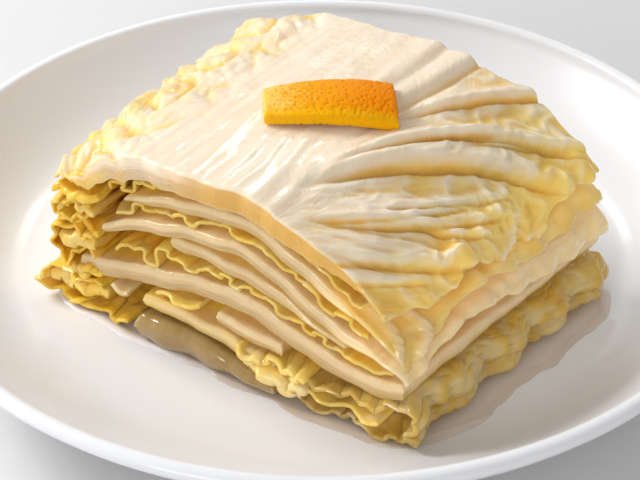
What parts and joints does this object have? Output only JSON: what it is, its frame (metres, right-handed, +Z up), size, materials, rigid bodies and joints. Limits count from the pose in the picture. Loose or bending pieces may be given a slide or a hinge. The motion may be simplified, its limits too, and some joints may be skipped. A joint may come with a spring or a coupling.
{
  "type": "white kimchi on a plate",
  "caption": "Cut block of pale pickled napa cabbage leaves, stems and frilled blades in layers, with a strip of citrus peel on top, on a small round white plate.",
  "frame": {"origin": "centre of the plate's underside, on the surface that it stands on", "axes": "+Z up, -Y towards the viewer's side with the front corner of the block, +X to the right"},
  "size_m": [0.134, 0.134, 0.042],
  "materials": {
    "plate_glaze": "smooth white glaze, high gloss",
    "top_leaf": "wet pale cabbage stem and blade, near white with yellow folds, stands in for food",
    "stem": "wet translucent cut cabbage stem, pinkish beige, stands in for food",
    "blade": "thin wet yellow cabbage blade, stands in for food",
    "wet_leaf": "brine-soaked olive yellow cabbage leaf, stands in for food",
    "citrus_peel": "waxy pored citrus rind, stands in for food"
  },
  "bodies": {
    "root": {"plate": "plate_glaze", "leaf_foot_left": "wet_leaf", "curl_low": "stem", "stem_foot": "wet_leaf", "leaf_foot_right": "wet_leaf", "frill_foot": "blade", "stem_low": "stem", "stem_tongue": "stem", "frill_low": "blade", "stem_long": "stem", "curl_left_low": "blade", "frill_middle": "blade", "stem_inner_low": "stem", "stem_inner_high": "stem", "curl_left_high": "blade", "frill_inner": "blade", "stem_upper": "stem", "frill_upper": "blade", "leaf_top": "top_leaf", "peel": "citrus_peel"}
  },
  "joints": []
}
